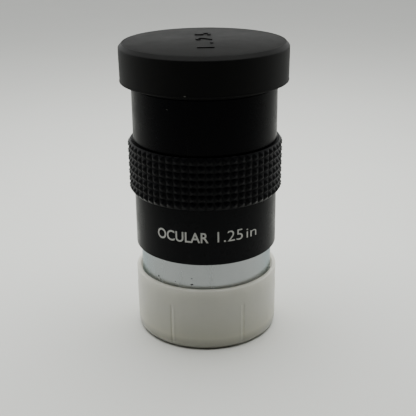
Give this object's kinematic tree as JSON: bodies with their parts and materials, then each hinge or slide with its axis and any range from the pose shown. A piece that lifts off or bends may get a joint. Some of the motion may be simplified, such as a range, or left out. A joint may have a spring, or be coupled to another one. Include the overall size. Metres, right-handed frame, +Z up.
{
  "type": "telescope eyepiece",
  "caption": "Round telescope eyepiece with a chromed push-in barrel, a studded rubber grip, a fold-down eyecup, a black eye cap and a milky barrel cap.",
  "frame": {"origin": "centre of the barrel cap's standing face, on the optical axis", "axes": "+Z up along the optical axis, from the barrel to the eye; -Y is the side that carries the focal length"},
  "size_m": [0.0392, 0.0392, 0.0705],
  "materials": {
    "milky_plastic": "satin",
    "chrome": "polished",
    "satin_black": "satin",
    "gloss_black": "gloss",
    "matt_black_metal": "matte",
    "grip_rubber": "matte",
    "eyecup_rubber": "matte",
    "cap_plastic": "matte",
    "coated_glass": "polished"
  },
  "bodies": {
    "barrel_cap": {"barrel_cap": "milky_plastic"},
    "eyepiece": {"barrel": "chrome", "field_stop_ring": "matt_black_metal", "lower_housing": "satin_black", "upper_housing": "gloss_black", "grip_sleeve": "grip_rubber", "lens_cell": "matt_black_metal", "eye_crown_lens": "coated_glass", "eye_flint_lens": "coated_glass", "field_crown_lens": "coated_glass", "field_flint_lens": "coated_glass", "lens_spacer": "matt_black_metal", "cell_retaining_ring": "matt_black_metal", "eyecup_seat": "eyecup_rubber"},
    "eyecup": {"eyecup_sleeve": "eyecup_rubber"},
    "eye_cap": {"eye_cap": "cap_plastic"}
  },
  "joints": [
    {"name": "eyepiece_lift", "type": "slide", "parent": "barrel_cap", "child": "eyepiece", "axis": [0, 0, 1], "range_m": [0, 0.03]},
    {"name": "eyecup_fold", "type": "slide", "parent": "eyepiece", "child": "eyecup", "axis": [0, 0, -1], "range_m": [0, 0.0084]},
    {"name": "eye_cap_pull", "type": "slide", "parent": "eyepiece", "child": "eye_cap", "axis": [0, 0, 1], "range_m": [0, 0.015]}
  ]
}
